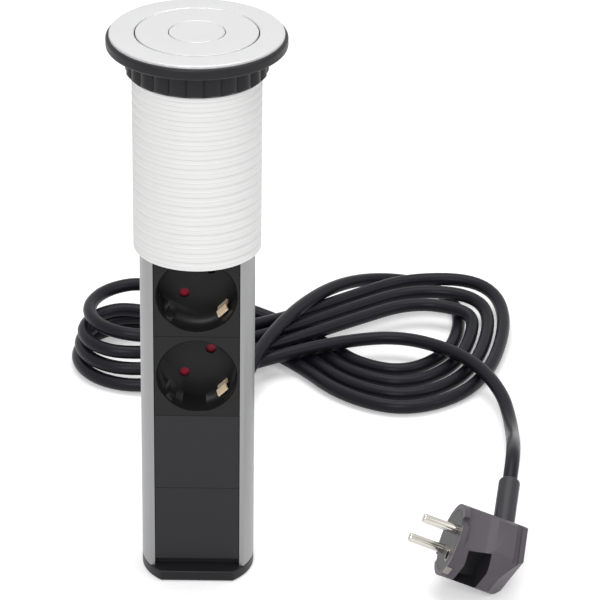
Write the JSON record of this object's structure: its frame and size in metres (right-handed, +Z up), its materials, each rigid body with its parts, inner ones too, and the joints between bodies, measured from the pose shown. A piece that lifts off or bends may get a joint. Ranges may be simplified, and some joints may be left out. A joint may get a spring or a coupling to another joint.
{
  "type": "pop up desk socket",
  "caption": "Round pull-up socket tower for a desk cut-out, with earthed sockets, a push-button lid, a clamping nut and a mains cord with an angled earthed plug.",
  "frame": {"origin": "centre of the base cap's underside", "axes": "+Z up along the tower, -Y towards the front of the sockets"},
  "size_m": [0.2628, 0.3652, 0.2965],
  "materials": {
    "black_plastic": "satin",
    "grey_plastic": "matte",
    "white_plastic": "satin",
    "plug_plastic": "satin",
    "red_plastic": "satin",
    "cord": "satin",
    "wire": "satin",
    "aluminium": "satin",
    "silver": "satin",
    "steel": "satin",
    "brass": "polished",
    "nickel": "polished"
  },
  "bodies": {
    "collar_assembly": {"collar": "white_plastic", "guide_front": "grey_plastic", "guide_rear": "grey_plastic", "flange_rim": "black_plastic", "flange_face": "silver"},
    "nut_carrier": {"pressure_ring": "black_plastic"},
    "nut": {"clamp_nut": "black_plastic"},
    "tower": {"base_cap": "black_plastic", "base_screws": "steel", "tower_profile": "aluminium", "blank_lower": "black_plastic", "blank_upper": "black_plastic", "busbar_neutral": "brass", "busbar_earth": "brass", "busbar_live": "brass", "terminal_block": "grey_plastic", "terminal_screws": "steel", "core_wires": "wire", "cord_clamp": "black_plastic", "clamp_screws": "steel", "cord_entry": "cord", "cord_relief": "cord", "head_block": "black_plastic", "head_screws": "steel", "lid_disc": "silver", "plug_body": "plug_plastic", "plug_face": "plug_plastic", "plug_pins": "nickel", "plug_earth": "nickel", "plug_sleeve": "plug_plastic", "cord_lead": "cord", "cord_hank": "cord", "cord_tail": "cord", "socket_body_1": "black_plastic", "earth_clips_1": "brass", "pin_contacts_1": "brass", "socket_back_1": "black_plastic", "socket_body_2": "black_plastic", "earth_clips_2": "brass", "pin_contacts_2": "brass", "socket_back_2": "black_plastic", "socket_body_3": "black_plastic", "earth_clips_3": "brass", "pin_contacts_3": "brass", "socket_back_3": "black_plastic", "socket_body_4": "black_plastic", "earth_clips_4": "brass", "pin_contacts_4": "brass", "socket_back_4": "black_plastic", "button_spring": "steel"},
    "button": {"button": "silver"},
    "latch": {"latch_bolt": "steel"},
    "shutter_1": {"shutter_1": "red_plastic"},
    "shutter_2": {"shutter_2": "red_plastic"},
    "shutter_3": {"shutter_3": "red_plastic"},
    "shutter_4": {"shutter_4": "red_plastic"}
  },
  "joints": [
    {"name": "tower_slide", "type": "slide", "parent": "collar_assembly", "child": "tower", "axis": [0, 0, 1], "range_m": [0, 0.2026]},
    {"name": "nut_travel", "type": "slide", "parent": "collar_assembly", "child": "nut_carrier", "axis": [0, 0, -1], "range_m": [0, 0.05]},
    {"name": "nut_spin", "type": "hinge", "parent": "nut_carrier", "child": "nut", "pos_m": [0, 0, 0.2818], "axis": [0, 0, 1], "range_deg": [0, 3600.6]},
    {"name": "button_press", "type": "slide", "parent": "tower", "child": "button", "axis": [0, 0, -1], "range_m": [0, 0.0025], "stiffness_N_per_m": 1200, "springref_m": -0.002, "deforming": ["button_spring"]},
    {"name": "latch_slide", "type": "slide", "parent": "tower", "child": "latch", "axis": [-1, 0, 0], "range_m": [0, 0.0022]},
    {"name": "shutter_1_turn", "type": "hinge", "parent": "tower", "child": "shutter_1", "pos_m": [0, 0.0049, 0.1164], "axis": [0, -1, 0], "range_deg": [0, 40], "stiffness_Nm_per_rad": 0.002, "springref_deg": -5.73},
    {"name": "shutter_2_turn", "type": "hinge", "parent": "tower", "child": "shutter_2", "pos_m": [0, 0.0049, 0.1614], "axis": [0, -1, 0], "range_deg": [0, 40], "stiffness_Nm_per_rad": 0.002, "springref_deg": -5.73},
    {"name": "shutter_3_turn", "type": "hinge", "parent": "tower", "child": "shutter_3", "pos_m": [0, 0.0049, 0.2064], "axis": [0, -1, 0], "range_deg": [0, 40], "stiffness_Nm_per_rad": 0.002, "springref_deg": -5.73},
    {"name": "shutter_4_turn", "type": "hinge", "parent": "tower", "child": "shutter_4", "pos_m": [0, 0.0049, 0.2514], "axis": [0, -1, 0], "range_deg": [0, 40], "stiffness_Nm_per_rad": 0.002, "springref_deg": -5.73}
  ],
  "couplings": [
    {"joint": "nut_spin", "follows": "nut_travel", "rad_per_m": 1256.6},
    {"joint": "latch_slide", "follows": "button_press", "ratio": 0.88}
  ]
}
